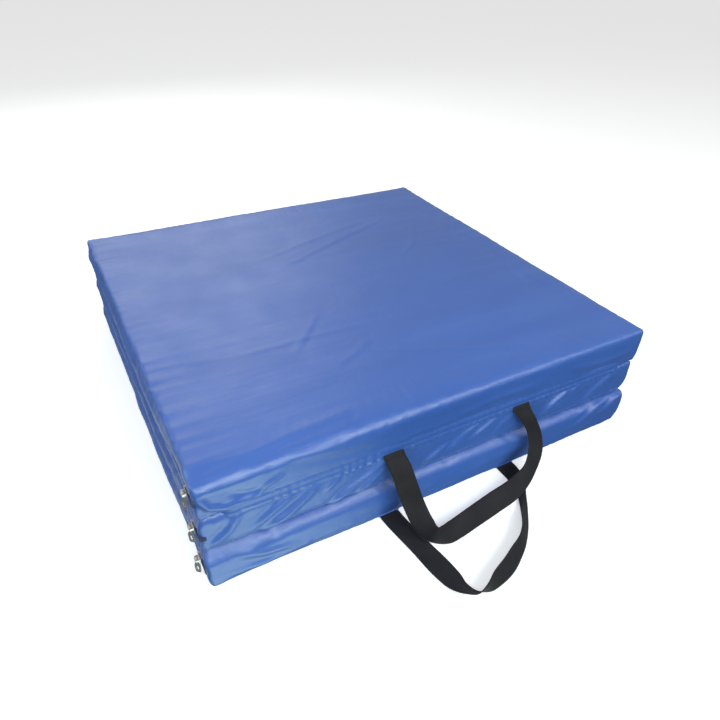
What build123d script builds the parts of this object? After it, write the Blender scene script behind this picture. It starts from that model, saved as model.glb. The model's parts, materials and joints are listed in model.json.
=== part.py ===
from build123d import *
import os

# Folding gym mat: three foam panels in zipped fabric covers, sewn together into a Z fold,
# with two webbing handles. Millimetres, +Z up. The origin is the centre of the underside of
# the folded stack, +X runs along the front face and +Y runs from the front to the back.

# Stack
MAT_WIDTH = 600.0  # along X
FOLD_SPAN = 600.0  # along Y, from the front fold axis to the back one
FOLD_STEP = 50.0  # height of one panel with its share of the gaps
PANEL_NAMES = ("bottom_panel", "middle_panel", "top_panel")
FOLD_PROUD = 2.5  # how far a fold axis stands outside the panels' faces
HALF_GAP = 0.2  # air on each side of the plane between two panels

# Cover and foam
SKIN = 1.0  # cover fabric with its seam allowance
CORNER_RADIUS = 12.0  # upright corners
EDGE_RADIUS = 8.0  # long horizontal edges
FOAM_GAP_X = 3.6  # from the cover's outer face to the foam, at the ends with the zip
FOAM_GAP_Y = 3.0
FOAM_GAP_Z = 1.8
FOAM_CORNER = 10.0
FOAM_EDGE = 5.0

# Zip, on the left end of each panel at half its height
ZIP_FRONT = -284.0  # y where the opening starts
ZIP_BACK = 284.0  # y where the opening ends
ZIP_OPENING = 16.0  # height of the slot in the cover
TAPE_THICKNESS = 0.8
TAPE_HALF = 12.0  # from the middle of the zip to the tape's sewn edge
TAPE_INSET = 0.05  # air between the tape and the inside of the cover
TOOTH_INNER = 0.9  # half of the channel that the slider's post runs in
TOOTH_OUTER = 3.1
TOOTH_DEPTH = 2.2  # how far the teeth stand out of the tape
STOP_LENGTH = 2.0
STOP_CLEARANCE = 0.2

# Slider and pull
SLIDER_LENGTH = 11.0
SLIDER_REST = 0.4  # air between the closed slider and the stop
PLATE_THICKNESS = 1.2
PLATE_CLEARANCE = 0.3
FLANGE_INNER = 3.4
FLANGE_OUTER = 4.4
FLANGE_LIFT = 0.4  # air between a flange and the tape
POST_WIDTH = 1.2
POST_LENGTH = 5.0
INNER_PLATE_GAP = 0.25
BRIDGE_RISE = 2.9  # from the outer plate to the bar's axis
BAR_RADIUS = 0.75
EYE_BORE = 1.0
EYE_RADIUS = 2.1
EYE_LENGTH = 4.0
CHEEK_GAP = 5.0  # clear space between the bridge's cheeks
CHEEK_THICKNESS = 1.3
CHEEK_HALF_HEIGHT = 1.3
CHEEK_OVER_BAR = 1.2  # how far the cheeks pass the bar's axis
PULL_LENGTH = 22.0  # from the bar's axis to the tab's tip
PULL_WIDTH = 6.6
PULL_THICKNESS = 1.2
PULL_TIP_RADIUS = 2.0
PULL_SLOT_LENGTH = 7.0
PULL_SLOT_WIDTH = 2.6
PULL_SLOT_OFFSET = 7.0  # from the tip to the slot's centre

# Folded end of the zip tape, which wraps round the front left corner
END_TAB_HEIGHT = 10.0
END_TAB_THICKNESS = 0.8
END_TAB_AIR = 0.05
END_TAB_FRONT = 12.0  # how far it reaches along the front face
END_TAB_SIDE = 12.5  # how far it reaches along the end

# Fabric webs and round seam beads of the folds
WEB_THICKNESS = 0.8
WEB_AIR = 0.1
WEB_HEIGHT = 12.0
WEB_BEND = 2.0  # where the web leaves the face, measured from the fold plane
WEB_HALF_LENGTH = 285.0
BEAD_RADIUS = 1.2
BEAD_CLEARANCE = 0.3

# Webbing handles
STRAP_WIDTH = 25.0
STRAP_THICKNESS = 1.5
UPPER_LEFT = -82.0  # x of each leg's centre line
UPPER_RIGHT = 98.0
UPPER_SEAM_GAP = 2.0  # from the fold axis to the sewn end
UPPER_DROP = 46.0  # z where the straight legs end
UPPER_FLOOR = 2.65  # z of the middle of the part that lies over the lower handle
UPPER_TOUCH = -338.0  # y where the legs reach that height
UPPER_REACH = -372.0  # y of the loop's far edge
UPPER_BENDS = (24.0, 18.0)
LOWER_LEFT = -84.0  # x of each leg's centre line
LOWER_RIGHT = 91.0
LOWER_START = -301.4  # y of the sewn ends
LOWER_TURNS = ((LOWER_LEFT, -352.0), (-62.0, -426.0), (0.0, -420.0), (LOWER_RIGHT, -338.0))
LOWER_BENDS = (60.0, 20.0, 22.0, 40.0)
ANCHOR_AXIS_Y = -300.0
ANCHOR_AXIS_Z = 2.0
ANCHOR_RADIUS = 0.8
ANCHOR_INNER = -295.8
ANCHOR_WIDTH = 28.0

HALF_WIDTH = MAT_WIDTH / 2
FOLD_Y = FOLD_SPAN / 2
FACE_Y = FOLD_Y - FOLD_PROUD
STACK_HEIGHT = FOLD_STEP * len(PANEL_NAMES)
TAPE_OUTER_X = -(HALF_WIDTH - SKIN - TAPE_INSET)
TAPE_INNER_X = TAPE_OUTER_X + TAPE_THICKNESS
TOOTH_X = TAPE_OUTER_X - TOOTH_DEPTH
PLATE_INNER_X = TOOTH_X - PLATE_CLEARANCE
PLATE_OUTER_X = PLATE_INNER_X - PLATE_THICKNESS
BAR_X = PLATE_OUTER_X - BRIDGE_RISE
SLIDER_Y = ZIP_FRONT + STOP_LENGTH + SLIDER_REST + SLIDER_LENGTH / 2


def span(x_ends, y_ends, z_ends):
    """A box between two values on each axis."""
    ends = (x_ends, y_ends, z_ends)
    size = [abs(high - low) for low, high in ends]
    middle = tuple((low + high) / 2 for low, high in ends)
    return Pos(*middle) * Box(*size)


def mirrored_span(x_ends, y_ends, z_middle, z_offsets):
    """Two boxes, one above and one below a height."""
    low, high = z_offsets
    upper = span(x_ends, y_ends, (z_middle + low, z_middle + high))
    lower = span(x_ends, y_ends, (z_middle - high, z_middle - low))
    return upper, lower


def rounded_prism(inset, z_ends):
    """The panel's outline in plan, moved inwards by inset."""
    low, high = z_ends
    outline = RectangleRounded(2 * (HALF_WIDTH - inset), 2 * (FACE_Y - inset), CORNER_RADIUS - inset)
    return extrude(Pos(0, 0, low) * outline, high - low)


def soften(prism, radius):
    """Rounds the edges of a prism's top and bottom faces."""
    flats = prism.faces().sort_by(Axis.Z)
    return fillet(flats[0].edges() + flats[-1].edges(), radius)


def foam_core(z_ends):
    low, high = z_ends
    size_x = 2 * (HALF_WIDTH - FOAM_GAP_X)
    size_y = 2 * (FACE_Y - FOAM_GAP_Y)
    outline = Pos(0, 0, low + FOAM_GAP_Z) * RectangleRounded(size_x, size_y, FOAM_CORNER)
    return soften(extrude(outline, high - low - 2 * FOAM_GAP_Z), FOAM_EDGE)


def cover(z_ends, z_middle):
    """The cover's three cut pieces: the wrap round the panel and the two end bands."""
    low, high = z_ends
    outer = soften(rounded_prism(0, z_ends), EDGE_RADIUS)
    inner = soften(rounded_prism(SKIN, (low + SKIN, high - SKIN)), EDGE_RADIUS - SKIN)
    shell = outer - inner
    cut = HALF_WIDTH - SKIN
    beyond = HALF_WIDTH + SKIN
    slot_z = (z_middle - ZIP_OPENING / 2, z_middle + ZIP_OPENING / 2)
    slot = span((-beyond, -cut + SKIN), (ZIP_FRONT, ZIP_BACK), slot_z)
    wrap = shell & span((-cut, cut), (-beyond, beyond), z_ends)
    zip_band = (shell & span((-beyond, -cut), (-beyond, beyond), z_ends)) - slot
    plain_band = shell & span((cut, beyond), (-beyond, beyond), z_ends)
    return wrap, zip_band, plain_band


def zip_tape(z_middle):
    x_ends = (TAPE_OUTER_X, TAPE_INNER_X)
    y_ends = (ZIP_FRONT, ZIP_BACK)
    return Compound(children=mirrored_span(x_ends, y_ends, z_middle, (TOOTH_INNER, TAPE_HALF)))


def zip_chain(z_middle):
    """The two rows of teeth, as plain strips with the slider's channel between them."""
    trim = STOP_LENGTH + STOP_CLEARANCE
    y_ends = (ZIP_FRONT + trim, ZIP_BACK - trim)
    rows = mirrored_span((TOOTH_X, TAPE_OUTER_X), y_ends, z_middle, (TOOTH_INNER, TOOTH_OUTER))
    return Compound(children=rows)


def zip_stops(z_middle):
    z_ends = (z_middle - TOOTH_OUTER, z_middle + TOOTH_OUTER)
    x_ends = (TOOTH_X, TAPE_OUTER_X)
    front = span(x_ends, (ZIP_FRONT, ZIP_FRONT + STOP_LENGTH), z_ends)
    back = span(x_ends, (ZIP_BACK - STOP_LENGTH, ZIP_BACK), z_ends)
    return Compound(children=[front, back])


def zip_end_tab(z_middle):
    z_ends = (z_middle - END_TAB_HEIGHT / 2, z_middle + END_TAB_HEIGHT / 2)
    outside = -(END_TAB_AIR + END_TAB_THICKNESS)
    ring = rounded_prism(outside, z_ends) - rounded_prism(-END_TAB_AIR, z_ends)
    x_ends = (-HALF_WIDTH + outside, -HALF_WIDTH + END_TAB_FRONT)
    y_ends = (-FACE_Y + outside, -FACE_Y + END_TAB_SIDE)
    return ring & span(x_ends, y_ends, z_ends)


def zip_slider(z_middle):
    y_ends = (SLIDER_Y - SLIDER_LENGTH / 2, SLIDER_Y + SLIDER_LENGTH / 2)
    plate_z = (z_middle - FLANGE_OUTER, z_middle + FLANGE_OUTER)
    inner_x = TAPE_INNER_X + INNER_PLATE_GAP
    flange_x = (PLATE_INNER_X, TAPE_OUTER_X - FLANGE_LIFT)
    body = span((PLATE_OUTER_X, PLATE_INNER_X), y_ends, plate_z)
    body += span((inner_x, inner_x + SKIN), y_ends, plate_z)
    for flange in mirrored_span(flange_x, y_ends, z_middle, (FLANGE_INNER, FLANGE_OUTER)):
        body += flange
    post_y = (SLIDER_Y - POST_LENGTH / 2, SLIDER_Y + POST_LENGTH / 2)
    post_z = (z_middle - POST_WIDTH / 2, z_middle + POST_WIDTH / 2)
    body += span((PLATE_INNER_X, inner_x), post_y, post_z)
    cheek_x = (BAR_X - CHEEK_OVER_BAR, PLATE_OUTER_X)
    cheek_z = (z_middle - CHEEK_HALF_HEIGHT, z_middle + CHEEK_HALF_HEIGHT)
    for side in (-1, 1):
        near = SLIDER_Y + side * CHEEK_GAP / 2
        body += span(cheek_x, (near, near + side * CHEEK_THICKNESS), cheek_z)
    bar = Cylinder(BAR_RADIUS, CHEEK_GAP + CHEEK_THICKNESS, rotation=(90, 0, 0))
    return body + Pos(BAR_X, SLIDER_Y, z_middle) * bar


def zip_pull(z_middle):
    """A rolled eye round the slider's bar, with a slotted tab that hangs from it."""
    eye = Cylinder(EYE_RADIUS, EYE_LENGTH, rotation=(90, 0, 0))
    bore = Cylinder(EYE_BORE, EYE_LENGTH * 2, rotation=(90, 0, 0))
    tab_length = PULL_LENGTH - EYE_BORE
    outline = Pos(0, -EYE_BORE - tab_length / 2) * Rectangle(PULL_WIDTH, tab_length)
    tips = outline.vertices().sort_by(Axis.Y)[:2]
    outline = fillet(tips, PULL_TIP_RADIUS)
    hole = SlotOverall(PULL_SLOT_LENGTH, PULL_SLOT_WIDTH, rotation=90)
    outline -= Pos(0, PULL_SLOT_OFFSET - PULL_LENGTH) * hole
    tab = extrude(Plane.YZ * outline, PULL_THICKNESS / 2, both=True)
    neck = span((-PULL_THICKNESS, PULL_THICKNESS), (-PULL_WIDTH, PULL_WIDTH), (-EYE_RADIUS, EYE_RADIUS))
    beside = neck - span((-PULL_THICKNESS, PULL_THICKNESS), (-EYE_LENGTH / 2, EYE_LENGTH / 2),
                         (-EYE_RADIUS, EYE_RADIUS))
    pull = eye + (tab - beside) - bore
    return Pos(BAR_X, SLIDER_Y, z_middle) * pull


def fold_web(side, fold_z, up, with_bead):
    """A strip sewn to a panel's face and led to the fold axis. side is the face's sign in y,
    and up says whether the panel is above the axis or below it."""
    reach = FOLD_PROUD - WEB_AIR - WEB_THICKNESS / 2
    face = FOLD_Y - reach
    bend = (side * face, fold_z + up * WEB_BEND)
    foot = (side * face, fold_z + up * WEB_HEIGHT)
    axis = (side * FOLD_Y, fold_z)
    profile = trace(Polyline(foot, bend, axis), line_width=WEB_THICKNESS)
    if with_bead:
        profile += Pos(*axis) * Circle(BEAD_RADIUS)
    else:
        profile -= Pos(*axis) * Circle(BEAD_RADIUS + BEAD_CLEARANCE)
    return extrude(Plane.YZ * profile, WEB_HALF_LENGTH, both=True)


def upper_handle():
    """Two legs that hang from the front seam, and the loop that joins them on the floor."""
    start = (-FOLD_Y, 2 * FOLD_STEP - UPPER_SEAM_GAP)
    corner = (-FOLD_Y, UPPER_DROP)
    touch = (UPPER_TOUCH, UPPER_FLOOR)
    tip = (UPPER_REACH, UPPER_FLOOR)
    run = FilletPolyline(start, corner, touch, tip, radius=UPPER_BENDS)
    left = UPPER_LEFT - STRAP_WIDTH / 2
    right = UPPER_RIGHT + STRAP_WIDTH / 2
    profile = Plane.YZ.offset(left) * trace(run, line_width=STRAP_THICKNESS)
    strap = extrude(profile, right - left)
    window_x = (left + STRAP_WIDTH, right - STRAP_WIDTH)
    window_y = (UPPER_REACH + STRAP_WIDTH, 0)
    return strap - span(window_x, window_y, (-STRAP_WIDTH, STACK_HEIGHT))


def lower_handle():
    """A flat loop on the floor in front of the bottom panel."""
    points = ((LOWER_LEFT, LOWER_START), *LOWER_TURNS, (LOWER_RIGHT, LOWER_START))
    run = FilletPolyline(*points, radius=LOWER_BENDS)
    return extrude(trace(run, line_width=STRAP_WIDTH), STRAP_THICKNESS)


def handle_anchors():
    """The two stitched tabs that hold the lower handle, each with a round nose on its axis."""
    tabs = []
    for middle in (LOWER_LEFT, LOWER_RIGHT):
        plate = Rectangle(ANCHOR_INNER - ANCHOR_AXIS_Y, 2 * ANCHOR_RADIUS, align=(Align.MIN, Align.CENTER))
        profile = Pos(ANCHOR_AXIS_Y, ANCHOR_AXIS_Z) * (plate + Circle(ANCHOR_RADIUS))
        tabs.append(Pos(middle, 0, 0) * extrude(Plane.YZ * profile, ANCHOR_WIDTH / 2, both=True))
    return Compound(children=tabs)


def panel(name, index):
    """Every piece of one panel, by node name."""
    low = index * FOLD_STEP + (HALF_GAP if index else 0)
    high = (index + 1) * FOLD_STEP - (HALF_GAP if index < len(PANEL_NAMES) - 1 else 0)
    z_middle = (low + high) / 2
    wrap, zip_band, plain_band = cover((low, high), z_middle)
    return {
        f"{name}_foam_core": foam_core((low, high)),
        f"{name}_cover_wrap": wrap,
        f"{name}_zip_side": zip_band,
        f"{name}_plain_side": plain_band,
        f"{name}_zip_tape": zip_tape(z_middle),
        f"{name}_zip_chain": zip_chain(z_middle),
        f"{name}_zip_stops": zip_stops(z_middle),
        f"{name}_zip_end_tab": zip_end_tab(z_middle),
        f"{name}_zip_slider": zip_slider(z_middle),
        f"{name}_zip_pull": zip_pull(z_middle),
    }


nodes = {}
for index, name in enumerate(PANEL_NAMES):
    nodes |= panel(name, index)
nodes["back_fold_lower_web"] = fold_web(1, FOLD_STEP, -1, True)
nodes["back_fold_upper_web"] = fold_web(1, FOLD_STEP, 1, False)
nodes["front_fold_lower_web"] = fold_web(-1, 2 * FOLD_STEP, -1, True)
nodes["front_fold_upper_web"] = fold_web(-1, 2 * FOLD_STEP, 1, False)
nodes["upper_handle_webbing"] = upper_handle()
nodes["lower_handle_webbing"] = lower_handle()
nodes["lower_handle_anchors"] = handle_anchors()

os.makedirs("parts", exist_ok=True)
for name, shape in nodes.items():
    export_step(shape, f"parts/{name}.step")
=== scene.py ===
import json
from math import cos, pi, radians, sin

import bmesh
import bpy
import numpy as np
from mathutils import Matrix, Vector, noise
from mathutils.bvhtree import BVHTree


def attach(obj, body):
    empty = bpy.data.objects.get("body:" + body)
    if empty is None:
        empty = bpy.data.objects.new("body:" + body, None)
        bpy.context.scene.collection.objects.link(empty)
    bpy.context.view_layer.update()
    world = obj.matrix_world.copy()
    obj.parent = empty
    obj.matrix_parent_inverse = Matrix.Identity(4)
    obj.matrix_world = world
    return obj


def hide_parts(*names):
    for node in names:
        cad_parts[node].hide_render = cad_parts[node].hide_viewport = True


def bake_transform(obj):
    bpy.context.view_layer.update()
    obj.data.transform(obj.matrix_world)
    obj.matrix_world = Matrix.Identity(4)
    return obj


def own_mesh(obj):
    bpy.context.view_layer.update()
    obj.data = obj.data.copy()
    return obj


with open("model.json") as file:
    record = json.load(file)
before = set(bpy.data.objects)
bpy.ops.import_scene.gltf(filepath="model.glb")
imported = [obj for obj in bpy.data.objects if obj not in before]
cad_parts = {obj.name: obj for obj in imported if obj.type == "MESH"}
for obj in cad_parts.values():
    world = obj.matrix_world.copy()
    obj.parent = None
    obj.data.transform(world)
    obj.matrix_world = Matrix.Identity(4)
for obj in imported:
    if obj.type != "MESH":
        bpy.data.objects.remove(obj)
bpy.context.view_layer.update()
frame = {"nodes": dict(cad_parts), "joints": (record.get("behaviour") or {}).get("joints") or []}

PANELS = ("bottom_panel", "middle_panel", "top_panel")
JOINTS = {joint["name"]: joint for joint in frame["joints"]}
BACK_FOLD = Vector(JOINTS["lower_fold"]["pos_m"])
FRONT_FOLD = Vector(JOINTS["upper_fold"]["pos_m"])


# -------- camera, floor and light

CAMERA_PLACE = Vector((-0.356, -0.696, 0.565))
CAMERA_YAW = radians(29.75)
CAMERA_PITCH = radians(35.46)
CAMERA_ROLL = radians(1.89)
CAMERA_LENS = 30.1
VIEW_END = 300
FLOOR_HALF = 90


def link_object(name, data):
    item = bpy.data.objects.new(name, data)
    bpy.context.collection.objects.link(item)
    return item


def make_camera():
    forward = Vector((sin(CAMERA_YAW) * cos(CAMERA_PITCH), cos(CAMERA_YAW) * cos(CAMERA_PITCH),
                      -sin(CAMERA_PITCH)))
    level = Vector((cos(CAMERA_YAW), -sin(CAMERA_YAW), 0))
    upright = level.cross(forward)
    right = level * cos(CAMERA_ROLL) + upright * sin(CAMERA_ROLL)
    up = upright * cos(CAMERA_ROLL) - level * sin(CAMERA_ROLL)
    turn = Matrix((right, up, -forward)).transposed().to_4x4()
    data = bpy.data.cameras.new("camera")
    data.lens = CAMERA_LENS
    data.clip_end = VIEW_END
    camera = link_object("camera", data)
    camera.matrix_world = Matrix.Translation(CAMERA_PLACE) @ turn
    bpy.context.scene.camera = camera


def area_light(name, place, target, size, power, colour=(1, 1, 1)):
    data = bpy.data.lights.new(name, "AREA")
    data.shape = "RECTANGLE"
    data.size, data.size_y = size
    data.energy = power
    data.color = colour
    aim = Vector(target) - Vector(place)
    turn = aim.to_track_quat("-Z", "Y").to_matrix().to_4x4()
    link_object(name, data).matrix_world = Matrix.Translation(place) @ turn


def make_stage():
    world = bpy.data.worlds.new("studio")
    bpy.context.scene.world = world
    world.use_nodes = True
    tree = world.node_tree
    height = tree.nodes.new("ShaderNodeSeparateXYZ")
    tree.links.new(tree.nodes.new("ShaderNodeTexCoord").outputs["Generated"], height.inputs[0])
    sky = tree.nodes.new("ShaderNodeValToRGB")
    tree.links.new(height.outputs["Z"], sky.inputs["Fac"])
    stops = sky.color_ramp.elements
    for place, shade in ((0.012, 0.40), (0.22, 0.75)):
        stops.new(place).color = (shade, shade, shade, 1)
    stops[0].color = (0.06, 0.06, 0.06, 1)
    stops[-1].color = (0.62, 0.62, 0.62, 1)
    tree.links.new(sky.outputs["Color"], tree.nodes["Background"].inputs["Color"])
    tree.nodes["Background"].inputs["Strength"].default_value = 0.5
    half = FLOOR_HALF
    mesh = bpy.data.meshes.new("floor")
    mesh.from_pydata([(-half, -half, 0), (half, -half, 0), (half, half, 0), (-half, half, 0)], [],
                     [(0, 1, 2, 3)])
    floor = link_object("floor", mesh)
    material = bpy.data.materials.new("floor_pale")
    material.use_nodes = True
    shader = material.node_tree.nodes["Principled BSDF"]
    shader.inputs["Base Color"].default_value = (0.93, 0.93, 0.93, 1)
    shader.inputs["Roughness"].default_value = 0.9
    shader.inputs["Emission Color"].default_value = (1, 1, 1, 1)
    shader.inputs["Emission Strength"].default_value = 0.45
    mesh.materials.append(material)
    floor.visible_diffuse = False
    floor.visible_glossy = False
    floor.visible_shadow = False
    area_light("panel_back", (0.0, 1.50, 1.20), (0, 0, 0.12), (1.3, 1.2), 8, (0.97, 0.98, 1))
    area_light("panel_front", (0.95, -1.75, 1.65), (0.1, -0.2, 0.1), (2.2, 1.0), 23)
    area_light("panel_front_left", (-0.20, -1.25, 0.80), (-0.22, -0.3, 0.06), (0.9, 0.55), 7.5,
               (0.82, 1, 0.98))
    area_light("floor_bounce_front", (-0.24, -0.66, -0.35), (-0.22, -0.3, 0.08), (0.50, 0.34), 1.6,
               (0.76, 1, 0.88))
    area_light("floor_bounce_side", (-0.55, 0.35, -0.45), (-0.3, 0, 0.08), (0.7, 0.9), 1.4, (0.92, 1, 0.97))
    area_light("window_left", (-1.35, -0.10, 1.00), (-0.15, 0, 0.1), (1.1, 1.2), 9, (0.92, 1, 1))
    bpy.context.scene.view_settings.view_transform = "Standard"


# -------- materials

class Nodes:
    """Short calls for building one material's node tree."""

    def __init__(self, name):
        self.material = bpy.data.materials.new(name)
        self.material.use_nodes = True
        self.tree = self.material.node_tree
        self.shader = self.tree.nodes["Principled BSDF"]

    def add(self, kind, values=(), **settings):
        node = self.tree.nodes.new(kind)
        for key, value in settings.items():
            setattr(node, key, value)
        for key, value in dict(values).items():
            if isinstance(value, bpy.types.NodeSocket):
                self.tree.links.new(value, node.inputs[key])
            else:
                node.inputs[key].default_value = value
        return node

    def math(self, operation, a, b=0.0):
        return self.add("ShaderNodeMath", {0: a, 1: b}, operation=operation).outputs[0]

    def noise(self, vector, scale, detail=3.0, roughness=0.5):
        values = {"Vector": vector, "Scale": scale, "Detail": detail, "Roughness": roughness}
        return self.add("ShaderNodeTexNoise", values).outputs["Fac"]

    def ramp(self, factor, stops):
        node = self.add("ShaderNodeValToRGB", {"Fac": factor})
        elements = node.color_ramp.elements
        while len(elements) < len(stops):
            elements.new(0.5)
        for element, (place, colour) in zip(elements, stops):
            element.position = place
            element.color = (*colour, 1) if len(colour) == 3 else colour
        return node.outputs["Color"]

    def span(self, factor, low, high, out_low, out_high):
        values = {"Value": factor, "From Min": low, "From Max": high, "To Min": out_low, "To Max": out_high}
        return self.add("ShaderNodeMapRange", values).outputs[0]

    def mix(self, factor, a, b, blend="MIX"):
        node = self.add("ShaderNodeMix", data_type="RGBA", blend_type=blend)
        for index, value in ((0, factor), (6, a), (7, b)):
            if isinstance(value, bpy.types.NodeSocket):
                self.tree.links.new(value, node.inputs[index])
            elif index:
                node.inputs[index].default_value = (*value, 1)
            else:
                node.inputs[index].default_value = value
        return node.outputs[2]

    def place(self):
        return self.add("ShaderNodeTexCoord").outputs["Object"]

    def attribute(self, name):
        return self.add("ShaderNodeAttribute", attribute_name=name)

    def bump(self, height, strength, distance, below=None):
        values = {"Height": height, "Strength": strength, "Distance": distance}
        if below is not None:
            values["Normal"] = below
        return self.add("ShaderNodeBump", values).outputs["Normal"]

    def set(self, **values):
        for key, value in values.items():
            socket = self.shader.inputs[key.replace("_", " ")]
            if isinstance(value, bpy.types.NodeSocket):
                self.tree.links.new(value, socket)
            else:
                socket.default_value = value
        return self.material


def coated_nylon():
    """Blue coated nylon: a fine square weave under a satin film, with faint creases."""
    nodes = Nodes("coated_nylon_blue")
    place = nodes.place()
    broad = nodes.noise(place, 3.2, 3.0)
    streak_place = nodes.add("ShaderNodeMapping", {"Vector": place, "Scale": (2.5, 26, 26),
                                                   "Rotation": (0, 0, radians(14))}).outputs[0]
    streak = nodes.noise(streak_place, 1.0, 4.0, 0.6)
    tone = nodes.add("ShaderNodeMix", {0: 0.4, 2: broad, 3: streak}).outputs[0]
    base = nodes.ramp(tone, ((0.32, (0.032, 0.108, 0.425)), (0.55, (0.039, 0.124, 0.470)),
                             (0.72, (0.050, 0.149, 0.525))))
    weave_scale = 1 / 0.0007
    warp = nodes.add("ShaderNodeSeparateXYZ", {0: place}).outputs
    threads = None
    for axis in (0, 1, 2):
        wave = nodes.math("SINE", nodes.math("MULTIPLY", warp[axis], weave_scale * 2 * pi))
        threads = wave if threads is None else nodes.math("ADD", threads, wave)
    weave = nodes.bump(threads, 0.03, 0.0001)
    crease = nodes.noise(place, 55.0, 5.0, 0.62)
    soft = nodes.bump(crease, 0.17, 0.004, weave)
    long_crease = nodes.noise(streak_place, 2.2, 5.0, 0.55)
    normal = nodes.bump(long_crease, 0.18, 0.006, soft)
    rough = nodes.span(nodes.noise(place, 18.0, 4.0), 0.3, 0.7, 0.40, 0.52)
    return nodes.set(Base_Color=base, Roughness=rough, Normal=normal, Sheen_Weight=0.15,
                     Sheen_Roughness=0.4, Sheen_Tint=(0.75, 0.88, 1.0, 1), Specular_IOR_Level=0.9,
                     Coat_Weight=0.25, Coat_Roughness=0.38)


def webbing():
    """Black woven strap: ribs across it, finer threads along it, and a paler worn edge."""
    nodes = Nodes("webbing_black")
    strap = nodes.add("ShaderNodeSeparateXYZ", {0: nodes.attribute("strap").outputs["Vector"]}).outputs
    rib = nodes.math("SINE", nodes.math("MULTIPLY", strap[0], 2 * pi / 0.0022))
    thread = nodes.math("SINE", nodes.math("MULTIPLY", strap[1], 2 * pi / 0.0016))
    phase = nodes.math("MULTIPLY", rib, thread)
    height = nodes.math("ADD", rib, nodes.math("MULTIPLY", phase, 0.8))
    fuzz = nodes.noise(nodes.place(), 900.0, 4.0, 0.7)
    worn = nodes.noise(nodes.place(), 40.0, 4.0, 0.6)
    edge = nodes.span(nodes.math("ABSOLUTE", strap[1]), 0.0112, 0.0125, 0.0, 0.5)
    colour = nodes.ramp(worn, ((0.3, (0.0065, 0.0058, 0.0080)), (0.7, (0.0145, 0.0130, 0.0165))))
    colour = nodes.mix(edge, colour, (0.048, 0.033, 0.030))
    colour = nodes.mix(nodes.span(phase, -1.0, 1.0, 0.0, 0.25), colour, (0.040, 0.037, 0.045))
    normal = nodes.bump(fuzz, 0.12, 0.0003, nodes.bump(height, 0.28, 0.00025))
    return nodes.set(Base_Color=colour, Roughness=0.72, Normal=normal, Sheen_Weight=0.12,
                     Sheen_Roughness=0.4, Specular_IOR_Level=0.3)


def tape_fabric():
    """Navy zip tape: a fine herringbone."""
    nodes = Nodes("zip_tape_navy")
    place = nodes.add("ShaderNodeSeparateXYZ", {0: nodes.place()}).outputs
    along = nodes.math("MULTIPLY", place[1], 2 * pi / 0.0012)
    across = nodes.math("MULTIPLY", nodes.math("ABSOLUTE", nodes.math("SINE", nodes.math(
        "MULTIPLY", place[2], pi / 0.003))), 3.0)
    bone = nodes.math("SINE", nodes.math("ADD", along, across))
    tone = nodes.noise(nodes.place(), 60.0, 4.0)
    colour = nodes.ramp(tone, ((0.3, (0.014, 0.024, 0.095)), (0.7, (0.028, 0.044, 0.150))))
    normal = nodes.bump(bone, 0.4, 0.0003)
    return nodes.set(Base_Color=colour, Roughness=0.8, Normal=normal, Sheen_Weight=0.2)


def tooth_plastic():
    nodes = Nodes("zip_tooth_nylon")
    tone = nodes.noise(nodes.place(), 220.0, 3.0)
    colour = nodes.ramp(tone, ((0.3, (0.016, 0.024, 0.090)), (0.7, (0.034, 0.048, 0.150))))
    rough = nodes.span(tone, 0.3, 0.7, 0.32, 0.5)
    return nodes.set(Base_Color=colour, Roughness=rough)


def worn_metal():
    """Dull antique nickel, brighter where it rubs and browner in the hollows."""
    nodes = Nodes("zip_metal_antique")
    place = nodes.place()
    patina = nodes.noise(place, 260.0, 5.0, 0.65)
    rub = nodes.span(nodes.add("ShaderNodeNewGeometry").outputs["Pointiness"], 0.48, 0.56, 0.0, 1.0)
    base = nodes.ramp(patina, ((0.3, (0.36, 0.30, 0.27)), (0.7, (0.60, 0.53, 0.50))))
    colour = nodes.mix(rub, base, (0.76, 0.70, 0.67))
    rough = nodes.span(patina, 0.3, 0.7, 0.30, 0.50)
    normal = nodes.bump(nodes.noise(place, 900.0, 3.0), 0.12, 0.0002)
    return nodes.set(Base_Color=colour, Metallic=0.75, Roughness=rough, Normal=normal)


def foam_material():
    nodes = Nodes("foam_white")
    cell = nodes.add("ShaderNodeTexVoronoi", {"Vector": nodes.place(), "Scale": 420.0}).outputs["Distance"]
    colour = nodes.ramp(cell, ((0.0, (0.86, 0.86, 0.83)), (0.6, (0.93, 0.93, 0.91))))
    return nodes.set(Base_Color=colour, Roughness=0.85, Normal=nodes.bump(cell, 0.5, 0.0008))


def thread_material():
    nodes = Nodes("thread_blue")
    twist = nodes.noise(nodes.place(), 1500.0, 2.0)
    colour = nodes.ramp(twist, ((0.3, (0.09, 0.18, 0.47)), (0.7, (0.19, 0.30, 0.61))))
    return nodes.set(Base_Color=colour, Roughness=0.6, Normal=nodes.bump(twist, 0.4, 0.0002))


make_camera()
make_stage()
NYLON = coated_nylon()
WEBBING = webbing()
TAPE = tape_fabric()
TEETH = tooth_plastic()
METAL = worn_metal()
FOAM = foam_material()
THREAD = thread_material()


# -------- mesh helpers

def new_object(name, verts, faces, material, smooth=True):
    mesh = bpy.data.meshes.new(name)
    mesh.from_pydata([tuple(v) for v in verts], [], [tuple(int(i) for i in f) for f in faces])
    mesh.materials.append(material)
    if smooth:
        mesh.shade_smooth()
    return link_object(name, mesh)


def vertex_values(piece, key):
    values = np.empty(len(piece.data.vertices) * 3)
    piece.data.vertices.foreach_get(key, values)
    return values.reshape(-1, 3)


def positions(piece):
    return vertex_values(piece, "co")


def set_positions(piece, values):
    piece.data.vertices.foreach_set("co", values.astype(np.float32).ravel())
    piece.data.update()


def apply_modifiers(piece):
    depsgraph = bpy.context.evaluated_depsgraph_get()
    mesh = bpy.data.meshes.new_from_object(piece.evaluated_get(depsgraph))
    piece.modifiers.clear()
    piece.data = mesh


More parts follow.
